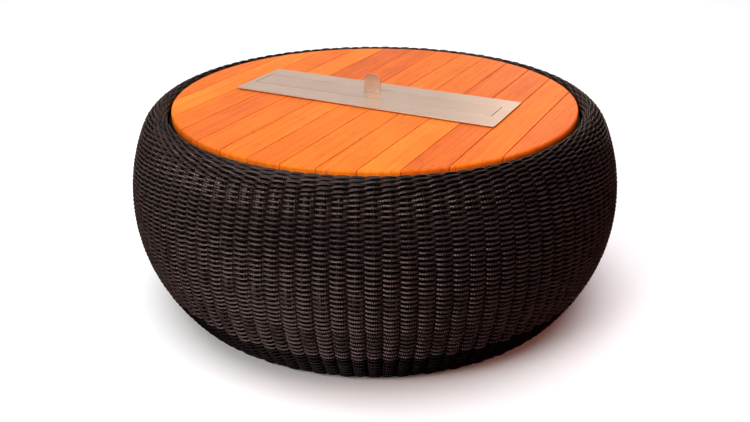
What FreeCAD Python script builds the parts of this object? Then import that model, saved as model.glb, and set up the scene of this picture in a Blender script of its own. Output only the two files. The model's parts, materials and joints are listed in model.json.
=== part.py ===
"""Round coffee table with a built-in burner: woven rope drum, teak top, steel burner.

Millimetres, +Z up. The origin is on the floor at the centre of the drum. X runs along the
burner plate and Y along the teak planks.
"""
import FreeCAD
import Part
import Sketcher
import math
import os
import re

os.makedirs("parts", exist_ok=True)
doc = FreeCAD.newDocument("FirePitTable")
sheet = doc.addObject("Spreadsheet::Sheet", "Sizes")

# Driving sizes in millimetres, and counts
SIZES = {
    # Drum outline: three arcs, tangent to each other and to the two rolled rope edges
    "belly_radius": 500,
    "belly_height": 215,
    "shoulder_arc": 70,
    "crown_angle": 64,
    "base_tuck": 82.1,
    "border_height": 75,
    # Frame of tubes and rods
    "tube_radius": 9,
    "tube_wall": 2,
    "drain_radius": 2,
    "stake_radius": 2.5,
    "stake_count": 108,
    "stake_end_gap": 1.6,
    "hoop_radius": 5,
    "upper_hoop_drop": 15,
    "lower_hoop_height": 100,
    "weld_gap": 0.3,
    # Rope
    "rope": 5,
    "rope_slack": 0.2,
    # Tabletop
    "table_height": 400,
    "top_setback": 92.5,
    "rim_gap": 7,
    "rim_drop": 0.5,
    "plank_count": 13,
    "plank_waste": 4.55,
    "plank_shift": 2,
    "seam": 1.4,
    "plank_thickness": 20,
    "edge_round": 4,
    "seam_ease": 0.5,
    "batten_width": 40,
    "batten_thickness": 15,
    "inner_batten_gap": 4.5,
    "outer_batten_offset": 7,
    "batten_end_gap": 4,
    "screw_radius": 2,
    "screw_head_radius": 4,
    "screw_head_height": 2.4,
    "screw_bite": 12,
    "screw_fit": 0.1,
    # Ledge that carries the top
    "ledge_width": 38,
    "ledge_thickness": 4,
    "ledge_gap": 1.5,
    "support_count": 8,
    "pad_radius": 12,
    "pad_thickness": 2,
    "gusset_thickness": 5,
    "gusset_tip": 12,
    "gusset_root": 12,
    "block_length": 30,
    "block_width": 18,
    "block_height": 14,
    "block_gap": 2,
    # Burner
    "plate_planks": 9,
    "plate_end_gap": 0.5,
    "plate_width": 164,
    "plate_thickness": 2,
    "plate_corner": 3,
    "gasket_thickness": 2,
    "gasket_inset": 4,
    "gasket_width": 5,
    "lid_margin_left": 13.5,
    "lid_margin_right": 25.5,
    "lid_margin_front": 55,
    "lid_margin_back": 46,
    "lid_gap": 1.5,
    "rest_width": 10,
    "rest_thickness": 2,
    "housing_end_lap": 10.5,
    "housing_side_lap": 17,
    "housing_depth": 90,
    "cutout_gap": 1.5,
    "sheet_wall": 1.5,
    "tank_inset": 6,
    "tank_depth": 66,
    "wool_height": 36,
    "wool_gap": 0.5,
    "grate_thickness": 1,
    "grate_slots": 24,
    "grate_border": 10,
    "grate_slot_width": 9,
    "saddle_setback": 90,
    "saddle_length": 24,
    "saddle_wall": 2,
    "tab_left": 4,
    "tab_back": 5,
    "tab_width": 36.5,
    "tab_height": 39,
    "tab_thickness": 2,
    "tab_corner": 12,
    "lug_width": 7,
    "lug_fit": 0.1,
    # Floor glides on brackets inside the base ring
    "foot_height": 8.5,
    "bracket_thickness": 4,
    "bracket_width": 30,
    "bracket_fit": 0.3,
    "glide_setback": 16,
    "glide_radius": 14,
    "glide_head": 6,
    "glide_round": 2,
    "glide_neck": 8,
    "glide_stem": 3.9,
    "glide_bore": 4.1,
    "glide_reach": 3,
}

# Places that follow from the driving sizes
WORKED_OUT = {
    "roll": "tube_radius + rope",
    "top_radius": "belly_radius - top_setback",
    "plank_width": "(2 * (top_radius + plank_waste) - (plank_count - 1) * seam) / plank_count",
    "plank_pitch": "plank_width + seam",
    "plank_floor": "table_height - plank_thickness",
    "ring_r": "top_radius + rim_gap + roll",
    "ring_z": "table_height - rim_drop - roll",
    "base_z": "foot_height + roll",
    "base_r": "belly_radius - base_tuck",
    # The shoulder meets the rolled rim at the crown angle
    "crown_cos": "cos(crown_angle)",
    "crown_sin": "sin(crown_angle)",
    "shoulder_r": "ring_r - (shoulder_arc - roll) * crown_cos",
    "shoulder_z": "ring_z - (shoulder_arc - roll) * crown_sin",
    # The upper arc is upright at the belly and touches the shoulder
    "shoulder_in": "belly_radius - shoulder_r",
    "shoulder_up": "shoulder_z - belly_height",
    "upper_arc": "(shoulder_in^2 + shoulder_up^2 - shoulder_arc^2) / (2 * (shoulder_in - shoulder_arc))",
    "upper_r": "belly_radius - upper_arc",
    "join_cos": "(shoulder_r - upper_r) / (upper_arc - shoulder_arc)",
    "join_sin": "shoulder_up / (upper_arc - shoulder_arc)",
    # The lower arc is upright at the belly and touches the rolled base edge
    "base_drop": "belly_height - base_z",
    "lower_arc": "(base_tuck^2 + base_drop^2 - roll^2) / (2 * (base_tuck - roll))",
    "lower_r": "belly_radius - lower_arc",
    "hem_cos": "(base_r - lower_r) / (lower_arc - roll)",
    "hem_sin": "-base_drop / (lower_arc - roll)",
    "border_sin": "(border_height - belly_height) / lower_arc",
    "border_cos": "sqrt(1 - border_sin^2)",
    "glide_r": "base_r - roll - glide_setback",
    "bracket_floor": "base_z - bracket_thickness / 2",
    # Depths below the woven surface
    "stake_inset": "rope + weld_gap + stake_radius",
    "hoop_inset": "stake_inset + stake_radius + weld_gap + hoop_radius",
    # Ledge and what stands on it
    "ledge_top": "plank_floor - pad_thickness",
    "ledge_floor": "ledge_top - ledge_thickness",
    "ledge_outer": "ring_r - roll - ledge_gap",
    "ledge_inner": "ledge_outer - ledge_width",
    "pad_r": "ledge_inner + ledge_width / 2",
    "upper_hoop_height": "belly_height + (upper_arc - hoop_inset) * join_sin - upper_hoop_drop",
    "upper_hoop_r": "upper_r + sqrt((upper_arc - hoop_inset)^2 - (upper_hoop_height - belly_height)^2)",
    "lower_hoop_r": "lower_r + sqrt((lower_arc - hoop_inset)^2 - (lower_hoop_height - belly_height)^2)",
    # Burner levels and openings
    "plate_floor": "table_height + gasket_thickness",
    "plate_top": "plate_floor + plate_thickness",
    "rest_floor": "plate_floor - rest_thickness",
    "plate_length": "plate_planks * plank_pitch - plate_end_gap",
    "housing_length": "plate_length - 2 * housing_end_lap",
    "housing_width": "plate_width - 2 * housing_side_lap",
    "housing_floor": "plate_floor - housing_depth",
    "lid_length": "plate_length - lid_margin_left - lid_margin_right",
    "lid_width": "plate_width - lid_margin_front - lid_margin_back",
    "lid_along": "(lid_margin_left - lid_margin_right) / 2",
    "lid_back": "(lid_margin_front - lid_margin_back) / 2",
    "tab_x": "lid_along - tab_left",
    "tab_y": "lid_back + tab_back",
    "cutout_half_length": "housing_length / 2 + cutout_gap",
    "cutout_half_width": "housing_width / 2 + cutout_gap",
    "opening_length": "lid_length + 2 * lid_gap",
    "opening_width": "lid_width + 2 * lid_gap",
    "tank_length": "opening_length - 2 * tank_inset",
    "tank_width": "opening_width - 2 * tank_inset",
    "tank_floor": "rest_floor - tank_depth",
    "wool_floor": "tank_floor + sheet_wall",
    "grate_floor": "wool_floor + wool_height",
    "inner_batten_place": "cutout_half_width + inner_batten_gap + batten_width / 2",
    "batten_floor": "plank_floor - batten_thickness",
    "batten_circle": "ledge_inner - batten_end_gap",
    "outer_batten_place": "ledge_inner * sqrt(0.5) + outer_batten_offset",
}

for row, (alias, number) in enumerate(SIZES.items(), start=1):
    sheet.set(f"A{row}", alias)
    sheet.set(f"B{row}", str(number))
    sheet.setAlias(f"B{row}", alias)
for row, (alias, formula) in enumerate(WORKED_OUT.items(), start=1):
    sheet.set(f"D{row}", alias)
    sheet.set(f"E{row}", "=" + formula)
    sheet.setAlias(f"E{row}", alias)
doc.recompute()

ALIASES = re.compile(r"\b(" + "|".join([*SIZES, *WORKED_OUT]) + r")\b")
made = {}


def full(formula):
    """The formula with each size named as a cell of the sheet."""
    return ALIASES.sub(r"Sizes.\1", str(formula))


def size(formula):
    """The formula's value as a plain number."""
    return float(sheet.evalExpression(str(formula)))


def bind(item, **formulas):
    """Tie properties of an object to formulas of the sheet's sizes."""
    for name, formula in formulas.items():
        item.setExpression(name, full(formula))
    return item


def place(item, x="0", y="0", z="0"):
    """Tie an object's position to the sheet."""
    for axis, formula in zip("xyz", (x, y, z)):
        item.setExpression("Placement.Base." + axis, full(formula))
    return item


def keep(item, label):
    """Name a finished sub-part."""
    item.Label = label
    made[label] = item
    return item


# Building blocks


def block(name, x, y, z, length, width, height):
    """Box with its low corner at x, y, z."""
    box = doc.addObject("Part::Box", name)
    bind(box, Length=length, Width=width, Height=height)
    return place(box, x, y, z)


def centred_block(name, x, y, z, length, width, height):
    """Box centred on x and y that stands on z."""
    return block(name, f"{x} - ({length}) / 2", f"{y} - ({width}) / 2", z, length, width, height)


def disc(name, x, y, z, radius, height):
    """Upright cylinder."""
    cylinder = doc.addObject("Part::Cylinder", name)
    bind(cylinder, Radius=radius, Height=height)
    return place(cylinder, x, y, z)


def hoop(name, radius, z, thickness):
    """Level ring of round section."""
    torus = doc.addObject("Part::Torus", name)
    bind(torus, Radius1=radius, Radius2=thickness)
    return place(torus, z=z)


def cut(name, base, tool):
    """Base without the tool."""
    result = doc.addObject("Part::Cut", name)
    result.Base = base
    result.Tool = tool
    return result


def fuse(name, *shapes):
    """One solid from several."""
    result = doc.addObject("Part::MultiFuse", name)
    result.Shapes = list(shapes)
    return result


def common(name, base, tool):
    """What the two share."""
    result = doc.addObject("Part::Common", name)
    result.Base = base
    result.Tool = tool
    return result


def body(name):
    """Empty body for sketched features."""
    return doc.addObject("PartDesign::Body", name)


def origin_of(owner, role):
    """Plane or axis of a body's own origin."""
    return next(item for item in owner.Origin.OriginFeatures if item.Role == role)


def sketch_on(owner, plane, height="0"):
    """Sketch on one of the body's origin planes, raised along the plane's normal."""
    sketch = owner.newObject("Sketcher::SketchObject", owner.Name + "Sketch")
    sketch.AttachmentSupport = [(origin_of(owner, plane), "")]
    sketch.MapMode = "FlatFace"
    sketch.setExpression("AttachmentOffset.Base.z", full(height))
    return sketch


def pin_point(sketch, geometry, point, across=None, up=None):
    """Tie a point of the sketch to formulas for its two coordinates."""
    for kind, formula in (("DistanceX", across), ("DistanceY", up)):
        if formula is not None:
            number = sketch.addConstraint(
                Sketcher.Constraint(kind, -1, 1, geometry, point, size(formula)))
            sketch.setExpression(f"Constraints[{number}]", full(formula))


def outline(sketch, start, *steps):
    """Closed outline from start.

    A step is ("line", across, up) to a point, or ("arc", centre, end, turn, held): about a
    centre to a point, turn 1 anticlockwise and -1 clockwise, with held the coordinate of the
    end that is tied, "across" or "up". The last step ends at the start.
    """
    first = len(sketch.Geometry)
    last = first + len(steps) - 1
    here = FreeCAD.Vector(size(start[0]), size(start[1]), 0)
    for step in steps:
        if step[0] == "line":
            there = FreeCAD.Vector(size(step[1]), size(step[2]), 0)
            sketch.addGeometry(Part.LineSegment(here, there), False)
        else:
            kind, centre, end, turn, held = step
            middle = FreeCAD.Vector(size(centre[0]), size(centre[1]), 0)
            there = FreeCAD.Vector(size(end[0]), size(end[1]), 0)
            circle = Part.Circle(middle, FreeCAD.Vector(0, 0, 1), (here - middle).Length)
            angles = [math.atan2(point.y - middle.y, point.x - middle.x) for point in (here, there)]
            sketch.addGeometry(Part.ArcOfCircle(circle, *angles[::turn]), False)
        here = there
    entry = [2 if step[0] == "arc" and step[3] < 0 else 1 for step in steps]
    for offset, step in enumerate(steps):
        geometry = first + offset
        following = first if geometry == last else geometry + 1
        joint = Sketcher.Constraint(
            "Coincident", geometry, 3 - entry[offset], following, entry[following - first])
        sketch.addConstraint(joint)
    pin_point(sketch, first, entry[0], *start)
    for offset, step in enumerate(steps):
        geometry = first + offset
        leaving = 3 - entry[offset]
        closing = geometry == last
        if step[0] == "arc":
            pin_point(sketch, geometry, 3, *step[1])
            if not closing:
                across, up = step[2]
                if step[4] == "across":
                    pin_point(sketch, geometry, leaving, across, None)
                else:
                    pin_point(sketch, geometry, leaving, None, up)
        elif not closing:
            pin_point(sketch, geometry, leaving, *step[1:])


def circle_at(sketch, across, up, radius):
    """Circle with its centre and radius tied."""
    middle = FreeCAD.Vector(size(across), size(up), 0)
    geometry = sketch.addGeometry(Part.Circle(middle, FreeCAD.Vector(0, 0, 1), size(radius)), False)
    pin_point(sketch, geometry, 3, across, up)
    number = sketch.addConstraint(Sketcher.Constraint("Radius", geometry, size(radius)))
    sketch.setExpression(f"Constraints[{number}]", full(radius))


def pad(owner, sketch, length, both_ways=False):
    """Sketch raised into a solid."""
    feature = owner.newObject("PartDesign::Pad", owner.Name + "Pad")
    feature.Profile = sketch
    feature.Midplane = both_ways
    return bind(feature, Length=length)


def turn_about_z(owner, sketch):
    """Sketch turned a full turn about the table's axis."""
    feature = owner.newObject("PartDesign::Revolution", owner.Name + "Turn")
    feature.Profile = sketch
    feature.ReferenceAxis = (sketch, ["V_Axis"])
    feature.Angle = 360
    return feature


def repeat_about_z(owner, feature, count):
    """Copies of a feature at equal angles round the table's axis."""
    pattern = owner.newObject("PartDesign::PolarPattern", owner.Name + "Pattern")
    pattern.Originals = [feature]
    pattern.Axis = (origin_of(owner, "Z_Axis"), [""])
    pattern.Angle = 360
    bind(pattern, Occurrences=count)
    owner.Tip = pattern
    return owner


# Drum outline, in terms of the depth below the woven surface


def on_upper_join(depth):
    """Where the upper arc meets the shoulder."""
    reach = f"(upper_arc - ({depth}))"
    return f"upper_r + {reach} * join_cos", f"belly_height + {reach} * join_sin"


def on_crown(depth):
    """Where the shoulder meets the rolled rim."""
    reach = f"(shoulder_arc - ({depth}))"
    return f"shoulder_r + {reach} * crown_cos", f"shoulder_z + {reach} * crown_sin"


def on_hem(depth):
    """Where the lower arc meets the rolled base edge."""
    reach = f"(lower_arc - ({depth}))"
    return f"lower_r + {reach} * hem_cos", f"belly_height + {reach} * hem_sin"


def on_belly(depth):
    """Widest point."""
    return f"belly_radius - ({depth})", "belly_height"


def on_border(depth):
    """Where the border of plain rope ends and the patterned weave starts."""
    reach = f"(lower_arc - ({depth}))"
    return f"lower_r + {reach} * border_cos", f"belly_height + {reach} * border_sin"


def lower_band(name, low, high, label):
    """Rope wall on the lower arc, one rope thick, between two places on it."""
    owner = body(name)
    sketch = sketch_on(owner, "XZ_Plane")
    lower = ("lower_r", "belly_height")
    outline(
        sketch, low("0"),
        ("arc", lower, high("0"), 1, "up"),
        ("line", *high("rope")),
        ("arc", lower, low("rope"), -1, "up"),
        ("line", *low("0")))
    turn_about_z(owner, sketch)
    return keep(owner, label)


def upper_band():
    """Rope wall from the belly over the shoulder to the rolled rim."""
    owner = body("UpperWeave")
    sketch = sketch_on(owner, "XZ_Plane")
    upper = ("upper_r", "belly_height")
    shoulder = ("shoulder_r", "shoulder_z")
    outline(
        sketch, on_belly("0"),
        ("arc", upper, on_upper_join("0"), 1, "up"),
        ("arc", shoulder, on_crown("0"), 1, "up"),
        ("line", *on_crown("rope")),
        ("arc", shoulder, on_upper_join("rope"), -1, "up"),
        ("arc", upper, on_belly("rope"), -1, "up"),
        ("line", *on_belly("0")))
    turn_about_z(owner, sketch)
    return keep(owner, "rope_weave_upper")


def rolled_edge(name, centre, start_cos, start_sin, turn, end_cos, end_sin):
    """Rope wound round a ring tube, open where the stakes come in.

    It starts at the wall, in the direction given by a cosine and sine, and goes round the
    tube to the end direction.
    """
    owner = body(name)
    sketch = sketch_on(owner, "XZ_Plane")
    inner = "(tube_radius + rope_slack)"

    def at(radius, cosine, sine):
        return f"{centre[0]} + {radius} * {cosine}", f"{centre[1]} + {radius} * {sine}"

    outline(
        sketch, at("roll", start_cos, start_sin),
        ("arc", centre, at("roll", end_cos, end_sin), turn, "across"),
        ("line", *at(inner, end_cos, end_sin)),
        ("arc", centre, at(inner, start_cos, start_sin), -turn, "across"),
        ("line", *at("roll", start_cos, start_sin)))
    turn_about_z(owner, sketch)
    return owner


def bracket_notches():
    """Notches in the base edge's inner side, where the foot brackets reach the base ring."""
    owner = body("BracketNotches")
    sketch = sketch_on(owner, "XY_Plane", "bracket_floor - bracket_fit")
    inner = "base_r - roll - bracket_fit"
    outer = "base_r - tube_radius"
    side = "(bracket_width / 2 + bracket_fit)"
    outline(
        sketch, (inner, f"-{side}"),
        ("line", outer, f"-{side}"),
        ("line", outer, side),
        ("line", inner, side),
        ("line", inner, f"-{side}"))
    return repeat_about_z(owner, pad(owner, sketch, "bracket_thickness + 2 * bracket_fit"), "support_count")


def drain_bores(name, radius, z):
    """Small upright bores in a ring's underside, which let air and water out."""
    owner = body(name)
    sketch = sketch_on(owner, "XY_Plane", f"{z} - roll")
    circle_at(sketch, radius, "0", "drain_radius")
    return repeat_about_z(owner, pad(owner, sketch, "roll"), "support_count")


def ring_tube(name, radius, z, label):
    """Tube bent into a ring, with drain bores on its underside."""
    tube = cut(name + "Tube", hoop(name + "Outside", radius, z, "tube_radius"),
               hoop(name + "Inside", radius, z, "tube_radius - tube_wall"))
    return keep(cut(name, tube, drain_bores(name + "Drains", radius, z)), label)


def stake_path():
    """Centre line of one stake from the base ring to the top ring, in the XZ plane."""
    inset = size("stake_inset")
    belly_height = size("belly_height")
    lower = (size("lower_r"), belly_height, size("lower_arc") - inset)
    upper = (size("upper_r"), belly_height, size("upper_arc") - inset)
    shoulder = (size("shoulder_r"), size("shoulder_z"), size("shoulder_arc") - inset)
    reach = size("tube_radius + stake_end_gap")

    def stop(radius, arm):
        """Turn from the tube's direction to where the arc is one reach away from the tube."""
        return math.acos((radius ** 2 + arm ** 2 - reach ** 2) / (2 * radius * arm))

    hem = math.atan2(size("hem_sin"), size("hem_cos"))
    join = math.atan2(size("join_sin"), size("join_cos"))
    crown = math.atan2(size("crown_sin"), size("crown_cos"))
    spans = (
        (lower, hem + stop(lower[2], size("lower_arc - roll")), 0),
        (upper, 0, join),
        (shoulder, join, crown - stop(shoulder[2], size("shoulder_arc - roll"))))
    edges = []
    for (across, up, radius), first, last in spans:
        points = [
            FreeCAD.Vector(across + radius * math.cos(angle), 0, up + radius * math.sin(angle))
            for angle in (first, (first + last) / 2, last)]
        edges.append(Part.Arc(*points).toShape())
    return Part.Wire(edges)


def weaving_stakes():
    """Bent rods that the rope is woven round, welded to both rings."""
    path = stake_path()
    first = path.Edges[0]
    start = first.valueAt(first.FirstParameter)
    section = Part.Wire(Part.Circle(start, first.tangentAt(first.FirstParameter),
                                    size("stake_radius")).toShape())
    stake = path.makePipeShell([section], True, False)
    count = int(size("stake_count"))
    stakes = []
    for number in range(count):
        copy = stake.copy()
        copy.rotate(FreeCAD.Vector(), FreeCAD.Vector(0, 0, 1), 360 * number / count)
        stakes.append(copy)
    group = doc.addObject("Part::Feature", "WeavingStakes")
    group.Shape = Part.makeCompound(stakes)
    return keep(group, "weaving_stakes")


def top_ledge():
    """Flat ring that carries the tabletop."""
    return keep(cut("TopLedge", disc("LedgeOutside", "0", "0", "ledge_floor", "ledge_outer",
                                     "ledge_thickness"),
                    disc("LedgeInside", "0", "0", "ledge_floor", "ledge_inner",
                         "ledge_thickness")), "top_ledge")


def ledge_gussets():
    """Upright plates from the upper hoop to the underside of the ledge."""
    owner = body("LedgeGussets")
    sketch = sketch_on(owner, "XZ_Plane")
    tip = "upper_hoop_r - hoop_radius - weld_gap"
    outline(
        sketch, ("ledge_inner + weld_gap", "ledge_floor"),
        ("line", "ledge_inner + weld_gap", "ledge_floor - gusset_root"),
        ("line", tip, "upper_hoop_height - gusset_tip / 2"),
        ("line", tip, "upper_hoop_height + gusset_tip / 2"),
        ("line", "ledge_outer", "ring_z - roll - ledge_gap"),
        ("line", "ledge_outer", "ledge_floor"),
        ("line", "ledge_inner + weld_gap", "ledge_floor"))
    plate = pad(owner, sketch, "gusset_thickness", True)
    return keep(repeat_about_z(owner, plate, "support_count"), "ledge_gussets")


def rest_pads():
    """Rubber discs between the ledge and the planks."""
    owner = body("RestPads")
    sketch = sketch_on(owner, "XY_Plane", "ledge_top")
    circle_at(sketch, "pad_r", "0", "pad_radius")
    return keep(repeat_about_z(owner, pad(owner, sketch, "pad_thickness"), "support_count"), "rest_pads")


def foot_brackets():
    """Plates on the base ring's inner side, each with a bore for a floor glide."""
    owner = body("FootBrackets")
    sketch = sketch_on(owner, "XY_Plane", "bracket_floor")
    outer = "base_r - tube_radius - weld_gap"
    side = "bracket_width / 2"
    outline(
        sketch, (outer, f"-{side}"),
        ("line", outer, side),
        ("line", "glide_r", side),
        ("arc", ("glide_r", "0"), ("glide_r", f"-{side}"), 1, "across"),
        ("line", outer, f"-{side}"))
    circle_at(sketch, "glide_r", "0", "glide_bore")
    plate = pad(owner, sketch, "bracket_thickness")
    return keep(repeat_about_z(owner, plate, "support_count"), "foot_brackets")


def floor_glides():
    """Plastic feet pushed up into the foot brackets."""
    owner = body("FloorGlides")
    sketch = sketch_on(owner, "XZ_Plane")
    rim = "glide_r + glide_radius"
    stem_top = "bracket_floor + bracket_thickness + glide_reach"
    outline(
        sketch, ("glide_r", "0"),
        ("line", f"{rim} - glide_round", "0"),
        ("arc", (f"{rim} - glide_round", "glide_round"), (rim, "glide_round"), 1, "up"),
        ("line", rim, "glide_head"),
        ("line", "glide_r + glide_neck", "glide_head"),
        ("line", "glide_r + glide_neck", "bracket_floor"),
        ("line", "glide_r + glide_stem", "bracket_floor"),
        ("line", "glide_r + glide_stem", stem_top),
        ("line", "glide_r", stem_top),
        ("line", "glide_r", "0"))
    feature = owner.newObject("PartDesign::Revolution", "GlideTurn")
    feature.Profile = sketch
    feature.ReferenceAxis = (sketch, ["Edge9"])
    feature.Angle = 360
    return keep(repeat_about_z(owner, feature, "support_count"), "floor_glides")


def drum():
    """Rope drum, its frame, and the ledge for the tabletop."""
    lower_band("BorderWeave", on_hem, on_border, "rope_border")
    lower_band("LowerWeave", on_border, on_belly, "rope_weave_lower")
    upper_band()
    rim = rolled_edge("RopeRim", ("ring_r", "ring_z"), "crown_cos", "crown_sin", 1, "cos(-30)", "sin(-30)")
    keep(rim, "rope_rim")
    edge = rolled_edge("BaseRoll", ("base_r", "base_z"), "hem_cos", "hem_sin", -1, "cos(60)", "sin(60)")
    keep(cut("RopeBaseEdge", edge, bracket_notches()), "rope_base_edge")
    ring_tube("TopRing", "ring_r", "ring_z", "top_ring")
    ring_tube("BaseRing", "base_r", "base_z", "base_ring")
    keep(hoop("UpperHoop", "upper_hoop_r", "upper_hoop_height", "hoop_radius"), "upper_hoop")
    keep(hoop("BellyHoop", "belly_radius - hoop_inset", "belly_height", "hoop_radius"), "belly_hoop")
    keep(hoop("LowerHoop", "lower_hoop_r", "lower_hoop_height", "hoop_radius"), "lower_hoop")
    weaving_stakes()
    top_ledge()
    ledge_gussets()
    rest_pads()
    foot_brackets()
    floor_glides()


# Tabletop


def teak_round():
    """The whole round top with its rounded upper edge, before it is parted into planks."""
    owner = body("TeakRound")
    sketch = sketch_on(owner, "XZ_Plane")
    outline(
        sketch, ("0", "plank_floor"),
        ("line", "top_radius", "plank_floor"),
        ("line", "top_radius", "table_height - edge_round"),
        ("arc", ("top_radius - edge_round", "table_height - edge_round"),
         ("top_radius - edge_round", "table_height"), 1, "across"),
        ("line", "0", "table_height"),
        ("line", "0", "plank_floor"))
    turn_about_z(owner, sketch)
    return owner


def plank_blank(name, middle, start, length):
    """Straight plank with eased upper edges, running along Y from start."""
    owner = body(name + "Blank")
    sketch = sketch_on(owner, "XZ_Plane")
    half = "plank_width / 2"
    outline(
        sketch, (f"{middle} - {half}", "plank_floor"),
        ("line", f"{middle} + {half}", "plank_floor"),
        ("line", f"{middle} + {half}", "table_height - seam_ease"),
        ("line", f"{middle} + {half} - seam_ease", "table_height"),
        ("line", f"{middle} - {half} + seam_ease", "table_height"),
        ("line", f"{middle} - {half}", "table_height - seam_ease"),
        ("line", f"{middle} - {half}", "plank_floor"))
    pad(owner, sketch, length)
    sketch.setExpression("AttachmentOffset.Base.z", full(f"-({start}) - ({length})"))
    return owner


def planks(drill):
    """Teak planks, cut round at their ends and let in for the burner."""
    whole = teak_round()
    hole = centred_block("BurnerCutout", "0", "0", "plank_floor", "2 * cutout_half_length",
                         "2 * cutout_half_width", "plank_thickness")
    count = int(size("plank_count"))
    cutout = size("cutout_half_length")
    for number in range(count):
        step = number - (count - 1) / 2
        middle = f"{step} * plank_pitch - plank_shift"
        near, far = (abs(size(middle)) + side * size("plank_width") / 2 for side in (-1, 1))
        name = f"plank_{number + 1:02d}"
        halves = far < cutout
        reach = "top_radius - cutout_half_width" if halves else "2 * top_radius"
        starts = {"_front": "-top_radius", "_back": "cutout_half_width"} if halves else {"": "-top_radius"}
        for side, start in starts.items():
            blank = plank_blank(name + side, middle, start, reach)
            piece = common(name + side + "Round", blank, whole)
            if near < cutout < far:
                piece = cut(name + side + "Let", piece, hole)
            keep(cut(name + side, piece, drill), name + side)


def batten_half_length(place_of_batten):
    """Half the length that fits inside the ledge at the batten's outer edge."""
    return f"sqrt(batten_circle^2 - ({place_of_batten} + batten_width / 2)^2)"


def screw_places():
    """Middle of each plank over each batten, where a screw goes up."""
    places = []
    count = int(size("plank_count"))
    for name in ("inner_batten_place", "outer_batten_place"):
        half = size(batten_half_length(name)) - size("screw_head_radius")
        for number in range(count):
            across = (number - (count - 1) / 2) * size("plank_pitch") - size("plank_shift")
            if abs(across) < half:
                places += [(across, size(name)), (across, -size(name))]
    return places


def screw_shape(extra):
    """Countersunk screw from the batten's underside into the plank, extra all round."""
    floor = size("batten_floor")
    head = size("screw_head_radius") + extra
    shank = size("screw_radius") + extra
    neck = floor + size("screw_head_height")
    cone = Part.makeCone(head, shank, neck - floor, FreeCAD.Vector(0, 0, floor))
    length = size("batten_thickness - screw_head_height + screw_bite") + extra
    return cone.fuse(Part.makeCylinder(shank, length, FreeCAD.Vector(0, 0, neck))).removeSplitter()


def screw_group(name, extra):
    """All the batten screws, or with some extra size the holes for them."""
    screw = screw_shape(extra)
    copies = []
    for across, along in screw_places():
        copy = screw.copy()
        copy.translate(FreeCAD.Vector(across, along, 0))
        copies.append(copy)
    group = doc.addObject("Part::Feature", name)
    group.Shape = Part.makeCompound(copies)
    return group


def battens(drill):
    """Teak battens across the planks, two beside the burner and two further out."""
    for name, distance in (("inner", "inner_batten_place"), ("outer", "outer_batten_place")):
        half = batten_half_length(distance)
        for side, sign in (("front", "-"), ("back", "")):
            label = f"batten_{side}_{name}"
            bar = centred_block(label + "Bar", "0", f"{sign}{distance}", "batten_floor",
                                f"2 * {half}", "batten_width", "batten_thickness")
            keep(cut(label, bar, drill), label)


def centring_blocks():
    """Four blocks under the planks that keep the top in the middle of the ledge."""
    owner = body("CentringBlocks")
    sketch = sketch_on(owner, "XY_Plane", "plank_floor - block_height")
    far = "(ledge_inner - block_gap)"
    near = f"({far} - block_width)"
    diagonal = "sqrt(0.5)"
    half = "block_length / 2"

    def corner(out, side):
        return f"({out} - {side}) * {diagonal}", f"({out} + {side}) * {diagonal}"

    outline(
        sketch, corner(near, f"(-{half})"),
        ("line", *corner(far, f"(-{half})")),
        ("line", *corner(far, half)),
        ("line", *corner(near, half)),
        ("line", *corner(near, f"(-{half})")))
    return keep(repeat_about_z(owner, pad(owner, sketch, "block_height"), "4"), "centring_blocks")


def tabletop():
    """Teak planks on battens."""
    drill = screw_group("ScrewHoles", size("screw_fit"))
    planks(drill)
    battens(drill)
    keep(screw_group("BattenScrews", 0), "batten_screws")
    centring_blocks()


# Burner


def tray(name, x, y, z, length, width, height):
    """Folded sheet box, open at the top."""
    outside = centred_block(name + "Outside", x, y, z, length, width, height)
    inside = centred_block(name + "Inside", x, y, f"{z} + sheet_wall", f"{length} - 2 * sheet_wall",
                           f"{width} - 2 * sheet_wall", height)
    return cut(name, outside, inside)


def frame_strip(name, x, y, z, length, width, height, border):
    """Flat rectangular frame with a border of one width."""
    outside = centred_block(name + "Outside", x, y, z, length, width, height)
    inside = centred_block(name + "Inside", x, y, z, f"{length} - 2 * {border}",
                           f"{width} - 2 * {border}", height)
    return cut(name, outside, inside)


def rounded_plate(name, x, y, z, length, width, height, corner):
    """Flat plate with rounded corners."""
    plate = centred_block(name + "Sheet", x, y, z, length, width, height)
    rounded = doc.addObject("Part::Fillet", name)
    rounded.Base = plate
    doc.recompute()
    upright = [
        number for number, edge in enumerate(plate.Shape.Edges, start=1)
        if abs(edge.tangentAt(edge.FirstParameter).z) > 0.5]
    radius = size(corner)
    rounded.Edges = [(number, radius, radius) for number in upright]
    return rounded


def burner_plate():
    """Flange plate that hangs the burner in the tabletop, with the opening for the lid."""
    plate = rounded_plate("PlateBlank", "0", "0", "plate_floor", "plate_length", "plate_width",
                          "plate_thickness", "plate_corner")
    opening = centred_block("PlateOpening", "lid_along", "lid_back", "plate_floor", "opening_length",
                            "opening_width", "plate_thickness")
    keep(cut("BurnerPlate", plate, opening), "burner_plate")


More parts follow.
